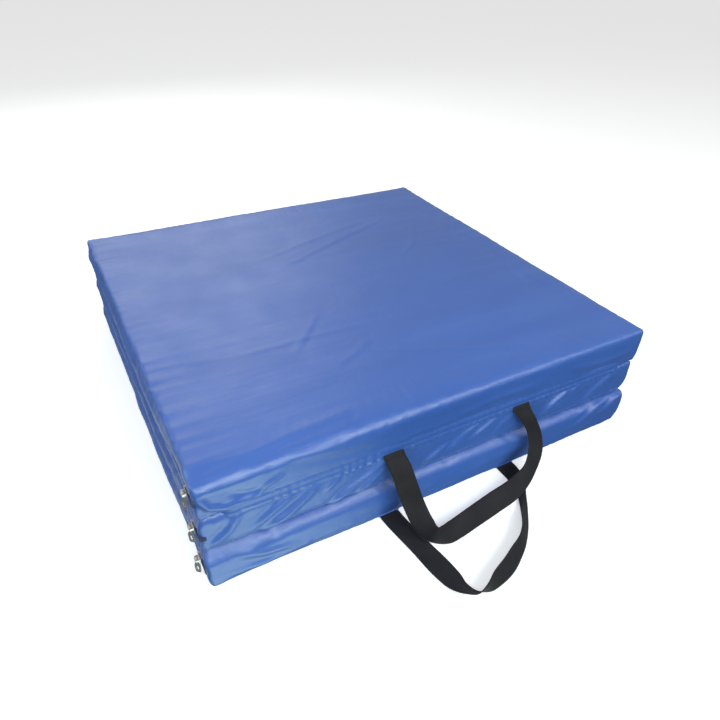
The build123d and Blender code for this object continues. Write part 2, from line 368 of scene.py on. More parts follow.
def smooth_step(values, low, high):
    t = np.clip((values - low) / (high - low), 0, 1)
    return t * t * (3 - 2 * t)


def wave_noise(points, scale, seed, octaves=3):
    """Smooth seeded noise from -1 to 1 at each point."""
    shift = Vector((seed * 7.13, seed * 3.71, seed * 5.37))
    return np.array([noise.fractal(Vector(p) * scale + shift, 0.6, 2.1, octaves) for p in points])


def tube_faces(start, rings, around):
    """Faces of a closed tube: quads from ring to ring, and a cap on each end."""
    quads = [(start + r * around + k, start + r * around + (k + 1) % around,
              start + (r + 1) * around + (k + 1) % around, start + (r + 1) * around + k)
             for r in range(rings - 1) for k in range(around)]
    first = [start + k for k in range(around)]
    return quads + [first[::-1], [k + (rings - 1) * around for k in first]]


def face_outward(piece):
    bm = bmesh.new()
    bm.from_mesh(piece.data)
    bmesh.ops.recalc_face_normals(bm, faces=bm.faces)
    bm.to_mesh(piece.data)
    bm.free()


def bevel_edges(piece, segments):
    edge = piece.modifiers.new("edge", "BEVEL")
    edge.width = 0.00025
    edge.segments = segments
    edge.limit_method = "ANGLE"


# -------- panel covers

HALF = np.array((0.300, 0.2975, 0.0247))
EDGE_ROUND = np.array((0.0042, 0.0042, 0.0038))
FLOOR_EDGE_ROUND = np.array((0.0042, 0.0042, 0.0018))
CENTRE_Z = {"bottom_panel": 0.0249, "middle_panel": 0.0750, "top_panel": 0.1251}
LIP = 0.0046
SLOT_END = 0.284
SIDE_TICKS = np.array((-0.0247, -0.0220, -0.0190, -0.0155, -0.0118, -0.0080, -LIP, 0, LIP, 0.0080, 0.0118,
                       0.0155, 0.0190, 0.0220, 0.0247))
WRAP, ZIP_SIDE, PLAIN_SIDE = range(3)
HINGE_REACH = 0.2999
# How far the rounded upper edge of each front runs down and back, and how far the face under it is set in.
SHOULDER = {"bottom_panel": (0.0170, 0.0105), "middle_panel": (0.0100, 0.0040), "top_panel": (0.0120, 0.0072)}
FRONT_INSET = {"bottom_panel": -0.0029, "middle_panel": 0.0014, "top_panel": 0.0004}
# Height of the gathers along the upper and the lower seam of the front and the back.
GATHERS = {"bottom_panel": (0.00025, 0.00015), "middle_panel": (0.0009, 0.0006),
           "top_panel": (0.0002, 0.0005)}
# How far the foot of each front is tucked in.
FRONT_TUCK = {"bottom_panel": 0.0, "middle_panel": 0.0018, "top_panel": 0.0010}


def spaced_ticks(half, fine, fine_count, coarse):
    edge = half - fine * np.arange(fine_count)
    inner = edge[-1] - fine
    middle = np.linspace(-inner, inner, int(round(2 * inner / coarse)) + 1)
    return np.concatenate((-edge, middle, edge[::-1]))


def box_lattice(ticks):
    """Vertices, faces and side labels of a closed grid over a box, one tick list an axis."""
    last = [len(t) - 1 for t in ticks]
    index, verts, faces, sides = {}, [], [], []

    def vertex(cell):
        if cell not in index:
            index[cell] = len(verts)
            verts.append([ticks[a][cell[a]] for a in range(3)])
        return index[cell]

    for axis in range(3):
        u, v = (axis + 1) % 3, (axis + 2) % 3
        for end in (0, last[axis]):
            for i in range(last[u]):
                for j in range(last[v]):
                    ring = []
                    for du, dv in ((0, 0), (1, 0), (1, 1), (0, 1)):
                        cell = [0, 0, 0]
                        cell[axis], cell[u], cell[v] = end, i + du, j + dv
                        ring.append(vertex(tuple(cell)))
                    faces.append(ring if end else ring[::-1])
                    sides.append(WRAP if axis else (PLAIN_SIDE if end else ZIP_SIDE))
    return np.array(verts), faces, sides


def rounded(points, half, radius):
    core = np.clip(points, radius - half, half - radius)
    out = (points - core) / radius
    length = np.linalg.norm(out, axis=1, keepdims=True)
    return core + np.where(length > 0, out / np.maximum(length, 1e-9), 0) * radius


def soft_form(points, panel):
    """The foam-filled shape of one cover, before its folds: bowed sides and drawn-in corners."""
    p = rounded(points, HALF, EDGE_ROUND)
    if panel == "bottom_panel":
        p = np.where(points[:, 2:] < 0, rounded(points, HALF, FLOOR_EDGE_ROUND), p)
    x, y, level = p[:, 0].copy(), p[:, 1].copy(), p[:, 2] / HALF[2]
    left = smooth_step(-x, 0.262, 0.300)
    right = smooth_step(x, 0.262, 0.300)
    front = smooth_step(-y, 0.262, 0.2975)
    back = smooth_step(y, 0.262, 0.2975)
    upper = smooth_step(level, 0.0, 1.0)
    lower = smooth_step(-level, 0.0, 1.0)
    away_from_corner = smooth_step(y, -0.262, -0.130) * smooth_step(-y, -0.292, -0.250)
    upper_puff = np.exp(-((p[:, 2] - 0.0110) / 0.0060) ** 2)
    lower_puff = np.exp(-((p[:, 2] + 0.0120) / 0.0060) ** 2)
    wall = smooth_step(-x, 0.290, 0.299)
    p[:, 0] -= wall * (0.0012 + 0.0052 * away_from_corner) * upper_puff
    p[:, 0] -= wall * (0.0008 + 0.0016 * away_from_corner) * lower_puff
    edge_left = -0.0010 if panel == "top_panel" else 0.0030
    p[:, 0] += left * (edge_left * upper ** 3 + 0.0012 * lower ** 3)
    if panel == "top_panel":
        p[:, 0] += 0.0030 * right
        p[:, 1] += 0.0035 * back
    p[:, 0] -= right * (0.0010 * upper ** 3 + 0.0035 * lower ** 3)
    shoulder_height, shoulder_depth = SHOULDER[panel]
    share = 0.5 - 0.5 * np.clip(x / 0.29, -1, 1)
    reach = shoulder_height * (0.30 + 0.70 * share)
    slope = np.clip((p[:, 2] - (HALF[2] - reach)) / reach, 0, 1)
    p[:, 1] += front * shoulder_depth * (0.30 + 0.70 * share) * slope ** 1.5
    p[:, 1] += front * FRONT_INSET[panel] * (1 - slope)
    p[:, 1] += front * FRONT_TUCK[panel] * lower ** 4
    p[:, 1] -= back * 0.0020 * (upper ** 3 + lower ** 3)
    corner = {"bottom_panel": 0.0045, "middle_panel": 0.0040, "top_panel": 0.0010}[panel]
    edge_x = smooth_step(np.abs(x), 0.262, 0.300)
    edge_y = smooth_step(np.abs(y), 0.262, 0.2975)
    pinch = edge_x * edge_y * corner * (0.10 + 0.90 * lower) * np.where(x > 0, 0.5, 0.15)
    p[:, 0] -= np.sign(x) * pinch * np.where(x > 0, 1.2, 0.6)
    p[:, 1] -= np.sign(y) * pinch * 0.6
    if panel == "top_panel":
        crown = (1 - np.clip(np.abs(x) / 0.3, 0, 1) ** 3) * (1 - np.clip(np.abs(y) / 0.3, 0, 1) ** 3)
        p[:, 2] += 0.0022 * crown * upper
        p[:, 2] -= upper * 0.0040 * smooth_step(-y, 0.262, 0.2975) * share ** 2
    p[:, 2] += CENTRE_Z[panel]
    return p


def within_room(p, panel):
    """Keeps a cover off the floor, its neighbours and the planes that the hinged faces share."""
    low = CENTRE_Z[panel] - 0.0248
    p[:, 2] = np.maximum(p[:, 2], low)
    if panel != "top_panel":
        p[:, 2] = np.minimum(p[:, 2], CENTRE_Z[panel] + 0.0248)
    if panel != "bottom_panel":
        p[:, 1] = np.maximum(p[:, 1], -HINGE_REACH)
    if panel != "top_panel":
        p[:, 1] = np.minimum(p[:, 1], HINGE_REACH)
    return p


CLOTH = {"quality": 6, "mass": 0.15, "air_damping": 3, "tension_stiffness": 12, "compression_stiffness": 8,
         "shear_stiffness": 4, "bending_stiffness": 0.08, "vertex_group_mass": "held", "pin_stiffness": 1,
         "shrink_min": -0.012, "use_pressure": True, "uniform_pressure_force": 3.5}
CLOTH_FRAMES = 20


def simulate(covers):
    """Slack nylon over the foam: the cloth is cut a little large and lightly inflated."""
    for cover in covers.values():
        rest = positions(cover)
        loose = np.maximum(smooth_step(np.abs(rest[:, 0]), 0.225, 0.285),
                           smooth_step(np.abs(rest[:, 1]), 0.225, 0.285))
        centre = CENTRE_Z[cover["panel"]]
        near_zip = (rest[:, 0] < -0.285) & (np.abs(rest[:, 2] - centre) < 0.0095)
        held = np.where(near_zip, 0.9, 1 - loose)
        group = cover.vertex_groups.new(name="held")
        for weight in np.unique(np.round(held, 2)):
            if weight > 0:
                chosen = [int(i) for i in np.flatnonzero(np.round(held, 2) == weight)]
                group.add(chosen, float(weight), "REPLACE")
        cloth = cover.modifiers.new("cloth", "CLOTH")
        for key, value in CLOTH.items():
            setattr(cloth.settings, key, value)
        cloth.settings.effector_weights.gravity = 0
        cloth.collision_settings.use_collision = False
        cloth.point_cache.frame_end = 24
    for frame_number in range(1, CLOTH_FRAMES + 1):
        bpy.context.scene.frame_set(frame_number)
    for cover in covers.values():
        rest = positions(cover)
        apply_modifiers(cover)
        cover.vertex_groups.clear()
        moved = positions(cover) - rest
        panel = cover["panel"]
        limit = np.full(len(rest), 0.0006 if panel == "top_panel" else 0.0012)
        hinged_front = (rest[:, 1] < -0.28) & (panel != "bottom_panel")
        hinged = hinged_front | (rest[:, 1] > 0.28) & (panel != "top_panel")
        limit[hinged] = np.minimum(limit[hinged], 0.0010)
        beside_zip = np.where(rest[:, 0] < -0.285, np.abs(rest[:, 2] - CENTRE_Z[panel]), 1)
        limit[beside_zip < 0.012] = 0.0004
        limit[beside_zip < 0.008] = 0.0001
        limit[(np.abs(rest[:, 0]) > 0.272) & (np.abs(rest[:, 1]) > 0.275)] = 0.0004
        limit[rest[:, 2] < 0.006] = 0.0003
        length = np.linalg.norm(moved, axis=1)
        scale = np.minimum(1, limit / np.maximum(length, 1e-9))
        set_positions(cover, within_room(rest + moved * scale[:, None], panel))
    bpy.context.scene.frame_set(1)


def open_slot(cover, panel):
    """Cuts the zip opening in the left side and turns its edge in as a hem."""
    bm = bmesh.new()
    bm.from_mesh(cover.data)
    centre = CENTRE_Z[panel]
    gone = []
    for face in bm.faces:
        middle = face.calc_center_median()
        if face.material_index == ZIP_SIDE and abs(middle.z - centre) < LIP and abs(middle.y) < SLOT_END:
            gone.append(face)
    bmesh.ops.delete(bm, geom=gone, context="FACES")
    rim = [edge for edge in bm.edges if edge.is_boundary]
    for depth, spread in ((0.0007, 0.0), (0.0011, 0.0009)):
        made = bmesh.ops.extrude_edge_only(bm, edges=rim)["geom"]
        rim = [item for item in made if isinstance(item, bmesh.types.BMEdge) and item.is_boundary]
        for vertex in {v for edge in rim for v in edge.verts}:
            vertex.co.x += depth
            vertex.co.z += spread * (1 if vertex.co.z > centre else -1)
    for face in bm.faces:
        if any(edge.is_boundary for edge in face.edges):
            face.material_index = ZIP_SIDE
    bmesh.ops.recalc_face_normals(bm, faces=bm.faces)
    bm.to_mesh(cover.data)
    bm.free()


def subdivide(cover):
    finer = cover.modifiers.new("finer", "SUBSURF")
    finer.levels = 1
    finer.render_levels = 1
    apply_modifiers(cover)


def ridge(points, line, height, width, lean=0.45):
    """Heights of one fold: a rounded crest along a line, with a hollow on the side it leans from."""
    line = np.array(line, float) * 0.001
    best = np.full(len(points), 1e9)
    side = np.zeros(len(points))
    along = np.zeros(len(points))
    lengths = np.linalg.norm(np.diff(line, axis=0), axis=1)
    total = lengths.sum()
    start = 0.0
    for a, b, length in zip(line[:-1], line[1:], lengths):
        run = (b - a) / length
        rel = points - a
        t = np.clip(rel @ run, 0, length)
        away = rel - t[:, None] * run
        distance = np.linalg.norm(away, axis=1)
        nearer = distance < best
        best = np.where(nearer, distance, best)
        side = np.where(nearer, away @ np.array((run[1], -run[0])), side)
        along = np.where(nearer, (start + t) / total, along)
        start += length
    taper = np.sin(pi * np.clip(0.12 + 0.76 * along, 0, 1)) ** 0.7
    crest = np.exp(-(best / width) ** 2)
    hollow = np.exp(-((side - 1.7 * width) / (1.1 * width)) ** 2) * np.exp(-(np.maximum(
        best - np.abs(side), 0) / width) ** 2)
    return height * taper * (crest - lean * hollow)


def pucker(along, away, spacing, height, reach, seed):
    """Gathers square to a seam: heights from the place along it and the distance from it."""
    drift = np.array([noise.noise(Vector((value * 26, seed * 3.1, 0))) for value in along])
    strength = np.array([noise.noise(Vector((value * 41, seed * 5.3, 7))) for value in along])
    wave = np.sin(2 * pi * (along / spacing + 0.9 * drift))
    return height * wave * (0.55 + 0.9 * strength) * np.exp(-np.abs(away) / reach)


# Folds by face, as points in millimetres. The front's are X and height above the floor, each with its rise
# and width in metres. The top's are X and Y. The sides' and the back's heights are from the panel's middle.
FRONT_FOLDS = {
    "bottom_panel": (
        (((264, 50), (248, 44), (231, 35), (210, 22)), 0.0023, 0.0041),
        (((289, 46), (270, 38), (251, 28)), 0.0020, 0.0034),
        (((-262, 34), (-238, 24), (-205, 19)), 0.0023, 0.0049),
        (((-275, 12), (-240, 8), (-190, 12)), 0.0017, 0.0049),
        (((-120, 26), (-70, 20), (-20, 22)), 0.0010, 0.0057),
        (((40, 20), (90, 26), (150, 22)), 0.0010, 0.0057),
    ),
    "middle_panel": (
        (((-179, 86), (-195, 75), (-208, 66), (-234, 53)), 0.0035, 0.0043),
        (((-207, 90), (-222, 81), (-240, 68)), 0.0029, 0.0038),
        (((-149, 90), (-163, 79)), 0.0017, 0.0026),
        (((-93, 90), (-110, 78), (-138, 66), (-158, 52)), 0.0035, 0.0038),
        (((-262, 88), (-272, 74), (-288, 62)), 0.0026, 0.0041),
        (((31, 84), (13, 75), (-12, 68)), 0.0017, 0.0034),
        (((188, 92), (170, 84), (150, 74)), 0.0026, 0.0041),
        (((260, 90), (235, 76), (214, 58)), 0.0023, 0.0041),
        (((92, 88), (76, 76), (62, 58)), 0.0014, 0.0037),
        (((-6, 78), (-22, 70), (-36, 62)), 0.0026, 0.0028),
        (((38, 93), (22, 87), (6, 78)), 0.0024, 0.0028),
        (((62, 89), (46, 82), (28, 73)), 0.0027, 0.0028),
        (((180, 93), (160, 78), (143, 63)), 0.0025, 0.0033),
        (((201, 97), (184, 84), (168, 68)), 0.0023, 0.0031),
        (((-90, 80), (-106, 68), (-126, 53)), 0.0025, 0.0030),
    ),
    "top_panel": (
        (((-296, 130), (-288, 116), (-272, 109), (-246, 109)), 0.0032, 0.0039),
        (((-238, 112), (-228, 119), (-214, 125)), 0.0020, 0.0033),
        (((-262, 124), (-250, 117), (-232, 116)), -0.0020, 0.0049),
        (((-196, 142), (-150, 132), (-96, 128)), 0.0014, 0.0053),
        (((10, 118), (60, 124), (130, 121)), 0.0012, 0.0057),
        (((180, 126), (230, 119), (284, 121)), 0.0014, 0.0049),
    ),
}
TOP_CREASES = (
    (((-94, 99), (12, 136), (132, 173)), 0.0007, 0.0046),
    (((-63, 66), (43, 113), (169, 168)), 0.0008, 0.0046),
    (((-200, -122), (-160, -121), (-100, -120), (-9, -125)), 0.0006, 0.0042),
    (((-129, -142), (-99, -109), (-68, -75)), 0.0005, 0.0044),
    (((-93, -189), (-65, -175), (-41, -161)), 0.0005, 0.0042),
    (((-36, -184), (42, -221), (139, -257)), 0.0008, 0.0044),
    (((-296, -102), (-259, -106), (-220, -114)), 0.0008, 0.0050),
    (((-280, -284), (-194, -272), (-124, -266)), 0.0008, 0.0050),
    (((-96, 82), (-25, 78), (53, 79)), 0.0005, 0.0044),
    (((120, 20), (170, 62), (205, 118)), 0.0005, 0.0046),
    (((200, -180), (245, -120), (262, -52)), 0.0006, 0.0046),
)
SIDE_FOLDS = (
    ((-268, 13), (-240, 18), (-205, 14)), ((-170, -16), (-130, -11), (-92, -15)),
    ((-60, 15), (-15, 11), (30, 16)), ((70, -14), (110, -17), (160, -12)), ((190, 14), (235, 17), (272, 12)),
)
BACK_FOLDS = (
    ((-250, -14), (-222, 0), (-200, 13)), ((-130, 15), (-112, 2), (-98, -13)), ((-20, -12), (4, 3), (18, 14)),
    ((92, 14), (118, 0), (150, -9)), ((205, -15), (232, -2), (262, 11)),
)


def add_folds(cover, panel):
    p = positions(cover)
    n = vertex_values(cover, "normal")
    centre = CENTRE_Z[panel]
    x, y, z = p.T
    height = np.zeros(len(p))
    facing = smooth_step(-n[:, 1], 0.45, 0.85)
    on = facing > 0
    for line, rise, width in FRONT_FOLDS[panel]:
        height[on] += facing[on] * ridge(p[on][:, (0, 2)], line, rise, width)
    if panel == "top_panel":
        facing = smooth_step(n[:, 2], 0.7, 0.95)
        on = facing > 0
        for line, rise, width in TOP_CREASES:
            height[on] += facing[on] * ridge(p[on][:, :2], line, rise, width)
    facing = smooth_step(n[:, 1], 0.45, 0.85)
    on = facing > 0
    for line in BACK_FOLDS:
        level = [(a, b + centre * 1000) for a, b in line]
        height[on] += facing[on] * ridge(p[on][:, (0, 2)], level, 0.0016, 0.0052)
    off_zip = np.where(x < 0, smooth_step(np.abs(z - centre), LIP + 0.001, LIP + 0.006), 1)
    for sign in (-1, 1):
        facing = smooth_step(sign * n[:, 0], 0.45, 0.85)
        on = facing > 0
        for line in SIDE_FOLDS:
            level = [(-sign * a, b + centre * 1000) for a, b in line]
            height[on] += (facing * off_zip)[on] * ridge(p[on][:, (1, 2)], level, 0.0011, 0.0048)
    seed = PANELS.index(panel) + 1
    flat = smooth_step(np.abs(n[:, 2]), 0.6, 0.95)
    rest = p - np.array((0, 0, centre))
    height += (1 - flat) * off_zip * 0.0007 * wave_noise(rest, 17, seed, 3)
    height += flat * 0.0008 * wave_noise(rest, 5.5, seed + 9, 3)
    left, right = HALF[0] + x, HALF[0] - x
    front, back = HALF[1] + y, HALF[1] - y
    lateral = smooth_step(np.abs(y), 0.275, 0.29)
    height += flat * (1 - lateral) * pucker(y, left, 0.0210, 0.0011, 0.032, seed)
    height += flat * (1 - lateral) * pucker(y, right, 0.0230, 0.0005, 0.018, seed + 3)
    height += flat * pucker(x, front, 0.0140, 0.00015, 0.012, seed + 5)
    height += flat * pucker(x, back, 0.0140, 0.0004, 0.012, seed + 7)
    upright = (1 - flat) * off_zip
    on_side = smooth_step(np.abs(n[:, 0]), 0.4, 0.8)
    height += upright * on_side * pucker(y, HALF[2] - np.abs(z - centre), 0.0150, 0.0008, 0.010, seed + 11)
    on_face = smooth_step(np.abs(n[:, 1]), 0.4, 0.8)
    gathers = GATHERS[panel]
    height += upright * on_face * pucker(x, centre + HALF[2] - z, 0.0105, gathers[0], 0.008, seed + 13)
    height += upright * on_face * pucker(x, z - centre + HALF[2], 0.0120, gathers[1], 0.007, seed + 15)
    set_positions(cover, within_room(p + n * height[:, None], panel))


def split_cover(cover, panel):
    """The wrap and the two side strips as objects of their own, meeting edge to edge."""
    mesh = cover.data
    p = positions(cover)
    labels = np.empty(len(mesh.polygons), np.int32)
    mesh.polygons.foreach_get("material_index", labels)
    corners = np.array([tuple(face.vertices) for face in mesh.polygons])
    made = {}
    for label, part in ((WRAP, "cover_wrap"), (ZIP_SIDE, "zip_side"), (PLAIN_SIDE, "plain_side")):
        faces = corners[labels == label]
        used, inverse = np.unique(faces, return_inverse=True)
        piece = new_object(f"{panel}_{part}_fabric", p[used], inverse.reshape(faces.shape), NYLON)
        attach(piece, panel)
        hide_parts(f"{panel}_{part}")
        made[part] = piece
    bpy.data.objects.remove(cover)
    return made


def build_covers():
    ticks = (spaced_ticks(HALF[0], 0.0035, 6, 0.0050), spaced_ticks(HALF[1], 0.003375, 6, 0.0080), SIDE_TICKS)
    verts, faces, sides = box_lattice(ticks)
    covers = {}
    for panel in PANELS:
        cover = new_object(f"{panel}_cover", soft_form(verts, panel), faces, NYLON)
        cover.data.polygons.foreach_set("material_index", sides)
        for _ in range(2):
            cover.data.materials.append(NYLON)
        cover["panel"] = panel
        covers[panel] = cover
    simulate(covers)
    made = {}
    for panel, cover in covers.items():
        open_slot(cover, panel)
        subdivide(cover)
        add_folds(cover, panel)
        made[panel] = split_cover(cover, panel)
    return made


FOAM_HALF = np.array((0.286, 0.285, 0.0205))
FOAM_ROUND = np.array((0.008, 0.008, 0.006))


def build_foam():
    ticks = [np.linspace(-half, half, count) for half, count in zip(FOAM_HALF, (30, 30, 5))]
    verts, faces, _ = box_lattice(ticks)
    for panel in PANELS:
        shape = rounded(verts, FOAM_HALF, FOAM_ROUND) + np.array((0, 0, CENTRE_Z[panel]))
        core = new_object(f"{panel}_foam", shape, faces, FOAM)
        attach(core, panel)
        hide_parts(f"{panel}_foam_core")


COVERS = build_covers()
build_foam()


# -------- helpers that follow the covers

class Skin:
    """Finds the outside of one panel's finished cover."""

    def __init__(self, panel):
        verts, faces = [], []
        for piece in COVERS[panel].values():
            start = len(verts)
            verts += [v.co.copy() for v in piece.data.vertices]
            faces += [[start + i for i in face.vertices] for face in piece.data.polygons]
        self.tree = BVHTree.FromPolygons(verts, faces)

    def hit(self, start, direction):
        place, normal, _, _ = self.tree.ray_cast(Vector(start), Vector(direction))
        if place is None:
            raise ValueError(f"no cover found from {tuple(start)}")
        return place, normal


SKINS = {panel: Skin(panel) for panel in PANELS}


def add_stitches(name, places, normals, body, length=0.0030, radius=0.00032, material=THREAD):
    """A row of thread stitches: each place is a stitch's middle, and they run from one to the next."""
    verts, faces = [], []
    rings = ((-0.5, 0.25, -0.6), (-0.32, 0.9, 0.1), (0.0, 1.0, 0.45), (0.32, 0.9, 0.1), (0.5, 0.25, -0.6))
    sides = 6
    for number, (place, normal) in enumerate(zip(places, normals)):
        other = places[number + 1] if number + 1 < len(places) else places[number - 1]
        run = (Vector(other) - Vector(place)).normalized()
        out = Vector(normal).normalized()
        across = run.cross(out).normalized()
        start = len(verts)
        for along, size, lift in rings:
            middle = Vector(place) + run * along * length + out * lift * radius
            for k in range(sides):
                angle = 2 * pi * k / sides
                verts.append(middle + (across * cos(angle) + out * sin(angle)) * radius * size)
        faces += tube_faces(start, len(rings), sides)
    piece = new_object(name, verts, faces, material)
    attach(piece, body)
    return piece


def grid_faces(rows, columns):
    return [(r * columns + c, r * columns + c + 1, (r + 1) * columns + c + 1, (r + 1) * columns + c)
            for r in range(rows - 1) for c in range(columns - 1)]


def thicken(piece, thickness, offset=-1):
    solid = piece.modifiers.new("thickness", "SOLIDIFY")
    solid.thickness = thickness
    solid.offset = offset
    apply_modifiers(piece)


# -------- hinge strips

# Across a strip in millimetres: height from the fold, and depth behind the panels' faces.
STRIP_PROFILE = ((-11.5, 5.4), (-9.5, 3.8), (-6.5, 2.3), (-3.5, 1.9), (-1.4, 2.3), (0.0, 3.0), (0.9, 2.8),
                 (2.2, 2.2), (4.5, 2.0), (8.0, 2.6), (11.5, 4.0))
STRIP_LENGTH = 0.286


def build_strip(name, axis_place, facing, nodes, seed):
    """The fabric hinge along a fold: a shallow gutter of gathered nylon across the gap of two panels."""
    level = np.array([a for a, _ in STRIP_PROFILE]) * 0.001
    depth = np.array([b for _, b in STRIP_PROFILE]) * 0.001
    rise = np.linspace(level[0], level[-1], 25)
    inset = np.interp(rise, level, depth)
    columns = np.linspace(-STRIP_LENGTH, STRIP_LENGTH, 287)
    grid_x, grid_rise = np.meshgrid(columns, rise)
    grid_inset = np.repeat(inset[:, None], len(columns), axis=1)
    gather = pucker(columns, np.zeros(len(columns)), 0.0095, 0.0009, 1, seed)
    broad = pucker(columns, np.zeros(len(columns)), 0.031, 0.0005, 1, seed + 2)
    body = np.exp(-((grid_rise + 0.0045) / 0.0035) ** 2) + 0.5 * np.exp(-((grid_rise - 0.005) / 0.0030) ** 2)
    grid_inset -= body * (gather + broad)
    ends = smooth_step(np.abs(grid_x), 0.258, STRIP_LENGTH)
    grid_inset = np.maximum(grid_inset, 0.0003) + 0.0100 * ends ** 2
    y = facing * (0.300 - grid_inset)
    verts = np.stack((grid_x.ravel(), y.ravel(), (grid_rise + axis_place.z).ravel()), axis=1)
    strip = new_object(name, verts, grid_faces(len(rise), len(columns)), NYLON)
    if facing > 0:
        strip.data.flip_normals()
    thicken(strip, 0.0005)
    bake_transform(strip)
    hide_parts(*nodes)


build_strip("front_hinge_strip", FRONT_FOLD, -1,
            ("front_fold_lower_web", "front_fold_upper_web"), 21)
build_strip("back_hinge_strip", BACK_FOLD, 1,
            ("back_fold_lower_web", "back_fold_upper_web"), 27)


# -------- zips

TAPE_X = -0.2986
TOOTH_PITCH = 0.0024
TOOTH_END = 0.2815
TOOTH_ROOT = 0.0026  # from the middle of the zip


def build_tape(panel):
    centre = CENTRE_Z[panel]
    parts_v, parts_f = [], []
    columns = np.linspace(-0.2845, 0.2845, 191)
    for sign in (-1, 1):
        rows = np.array((0.0007, 0.0012, 0.0022, 0.0034, 0.0050, 0.0068, 0.0090, 0.0115))
        lift = np.array((0.9, 1.0, 0.75, 0.25, 0.1, 0.05, 0.0, 0.0)) * 0.00035
        grid_y, grid_z = np.meshgrid(columns, rows)
        ripple = 0.00012 * np.sin(grid_y * 2 * pi / 0.021 + panel.count("t")) * (grid_z / 0.0115)
        x = TAPE_X - lift[:, None] + ripple
        start = sum(len(v) for v in parts_v)
        parts_v.append(np.stack((x.ravel(), grid_y.ravel(), (centre + sign * grid_z).ravel()), axis=1))
        quads = np.array(grid_faces(len(rows), len(columns))) + start
        parts_f += (quads if sign < 0 else quads[:, ::-1]).tolist()
    tape = new_object(f"{panel}_tape", np.concatenate(parts_v), parts_f, TAPE)
    thicken(tape, 0.0004)
    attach(tape, panel)
    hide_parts(f"{panel}_zip_tape")


def zip_tooth():
    """One moulded tooth along +Z from its root: a bar with a rounded, wider head."""
    outline = ((0.0, 0.42, 0.50), (0.5, 0.50, 0.62), (1.6, 0.50, 0.70), (2.3, 0.64, 0.78), (2.9, 0.60, 0.70),
               (3.2, 0.34, 0.40))
    section = [(cos(a), sin(a)) for a in np.linspace(0, 2 * pi, 9)[:-1] + pi / 8]
    verts = [(b * c * 0.001, a_half * s * 0.001, level * 0.001) for level, a_half, b in outline
             for c, s in section]
    return np.array(verts), tube_faces(0, len(outline), len(section))


def build_teeth(panel):
    centre = CENTRE_Z[panel]
    tooth, faces = zip_tooth()
    all_v, all_f = [], []
    for y in np.arange(-TOOTH_END, TOOTH_END, TOOTH_PITCH):
        for sign in (-1, 1):
            shape = tooth.copy()
            shape[:, 2] = sign * (TOOTH_ROOT - shape[:, 2])
            shape[:, 1] += y + (TOOTH_PITCH / 2 if sign > 0 else 0)
            shape[:, 0] += TAPE_X - 0.00105
            shape[:, 2] += centre
            start = len(all_v) * len(tooth)
            all_v.append(shape)
            all_f += [[start + i for i in (face[::-1] if sign > 0 else face)] for face in faces]
    teeth = new_object(f"{panel}_teeth", np.concatenate(all_v), all_f, TEETH)
    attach(teeth, panel)
    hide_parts(f"{panel}_zip_chain")


def build_lip_stitches(panel):
    skin, centre = SKINS[panel], CENTRE_Z[panel]
    for sign, side in ((-1, "lower"), (1, "upper")):
        places, normals = [], []
        for y in np.arange(-0.278, 0.279, 0.0042):
            place, normal = skin.hit((-0.33, y, centre + sign * 0.0082), (1, 0, 0))
            places.append(place)
            normals.append(normal)
        add_stitches(f"{panel}_zip_stitches_{side}", places, normals, panel)


def build_end_tab(panel):
    """The folded tape end that wraps the front left corner, tapering towards the front."""
    skin, centre = SKINS[panel], CENTRE_Z[panel]
    hub = Vector((-0.284, -0.2815, 0))
    turn = 0.30 if panel == "middle_panel" else 0.24
    stations = [((-0.34, y), (1, 0)) for y in np.linspace(-0.2740, -0.2815, 5)]
    stations += [((hub.x - 0.05 * cos(a), hub.y - 0.05 * sin(a)), (cos(a), sin(a)))
                 for a in np.linspace(0, pi * turn, 11)[1:]]
    rows = np.linspace(-1, 1, 7)
    verts = []
    for number, (start, direction) in enumerate(stations):
        along = number / (len(stations) - 1)
        half = 0.0052 * (1 - 0.55 * smooth_step(along, 0.55, 1.0))
        for row in rows:
            level = centre + row * half - 0.0010 * smooth_step(along, 0.5, 1.0)
            out = Vector((direction[0], direction[1], 0))
            high, _ = skin.hit((start[0], start[1], centre + 0.0095), out)
            low, _ = skin.hit((start[0], start[1], centre - 0.0095), out)
            middle = (high + low) / 2
            lift = 0.0011 - 0.0004 * abs(row) ** 3
            verts.append((middle.x - out.x * lift, middle.y - out.y * lift, level))
    tab = new_object(f"{panel}_end_tab", verts, grid_faces(len(stations), len(rows)), TAPE)
    thicken(tab, 0.0007)
    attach(tab, panel)
    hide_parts(f"{panel}_zip_end_tab")


def build_stops(panel):
    centre = CENTRE_Z[panel]
    for end, y in (("front", -0.2826), ("rear", 0.2826)):
        bm = bmesh.new()
        bmesh.ops.create_cube(bm, size=1)
        bmesh.ops.scale(bm, vec=(0.0017, 0.0016, 0.0052), verts=bm.verts)
        bmesh.ops.bevel(bm, geom=bm.edges[:], offset=0.00045, segments=3, affect="EDGES", profile=0.5)
        bmesh.ops.translate(bm, vec=(TAPE_X - 0.0009, y, centre), verts=bm.verts)
        mesh = bpy.data.meshes.new(f"{panel}_stop_{end}")
        bm.to_mesh(mesh)
        bm.free()
        mesh.materials.append(METAL)
        mesh.shade_smooth()
        stop = link_object(f"{panel}_stop_{end}", mesh)
        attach(stop, panel)
        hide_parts(f"{panel}_zip_stops")


for zip_panel in PANELS:
    build_tape(zip_panel)
    build_teeth(zip_panel)
    build_lip_stitches(zip_panel)
    build_end_tab(zip_panel)
    build_stops(zip_panel)


# -------- webbing handles

STRAP_WIDTH = 0.025
STRAP_THICK = 0.0015
